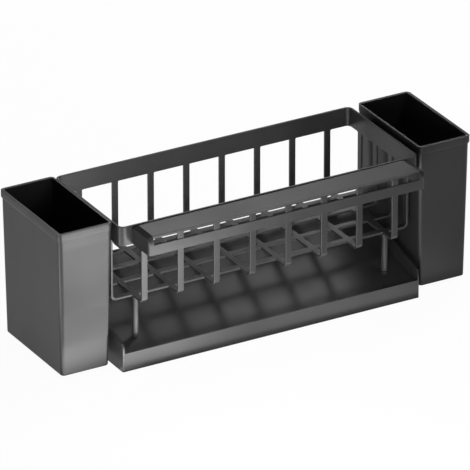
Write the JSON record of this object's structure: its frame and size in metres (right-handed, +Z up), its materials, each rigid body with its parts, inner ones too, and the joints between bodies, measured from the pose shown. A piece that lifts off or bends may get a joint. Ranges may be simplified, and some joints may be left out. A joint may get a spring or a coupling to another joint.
{
  "type": "sink organizer",
  "caption": "Slotted sink organizer basket on posts over a sloped drip tray, with a front towel rail and a deep box hung on each end.",
  "frame": {"origin": "middle of the footprint of the whole part, on the counter plane under the drip tray", "axes": "+X along the length to the right-hand box, +Y from the towel rail to the back, +Z up"},
  "size_m": [0.4142, 0.15, 0.1415],
  "materials": {
    "coated_steel": "satin black powder coat",
    "tray_plastic": "glossy black moulded plastic",
    "box_plastic": "satin black moulded plastic",
    "rubber": "matte black",
    "dark_steel": "satin black coated steel"
  },
  "bodies": {
    "tray": {"drip_tray": "tray_plastic"},
    "basket": {"basket_base": "coated_steel", "basket_front": "coated_steel", "basket_back": "coated_steel", "basket_left": "coated_steel", "basket_right": "coated_steel", "towel_rail": "coated_steel", "rail_screw_left": "dark_steel", "rail_screw_right": "dark_steel", "post_front_left": "coated_steel", "post_back_left": "coated_steel", "post_front_right": "coated_steel", "post_back_right": "coated_steel", "post_tip_front_left": "rubber", "post_tip_back_left": "rubber", "post_tip_front_right": "rubber", "post_tip_back_right": "rubber", "left_hanger_front": "dark_steel", "left_hanger_back": "dark_steel", "right_hanger_front": "dark_steel", "right_hanger_back": "dark_steel"},
    "left_box": {"left_box": "box_plastic", "left_hook_front": "dark_steel", "left_hook_back": "dark_steel"},
    "right_box": {"right_box": "box_plastic", "right_hook_front": "dark_steel", "right_hook_back": "dark_steel"}
  },
  "joints": [
    {"name": "basket_lift", "type": "slide", "parent": "tray", "child": "basket", "axis": [0, 0, 1], "range_m": [0, 0.06]},
    {"name": "left_box_lift", "type": "slide", "parent": "basket", "child": "left_box", "axis": [0, 0, 1], "range_m": [0, 0.05]},
    {"name": "right_box_lift", "type": "slide", "parent": "basket", "child": "right_box", "axis": [0, 0, 1], "range_m": [0, 0.05]}
  ]
}
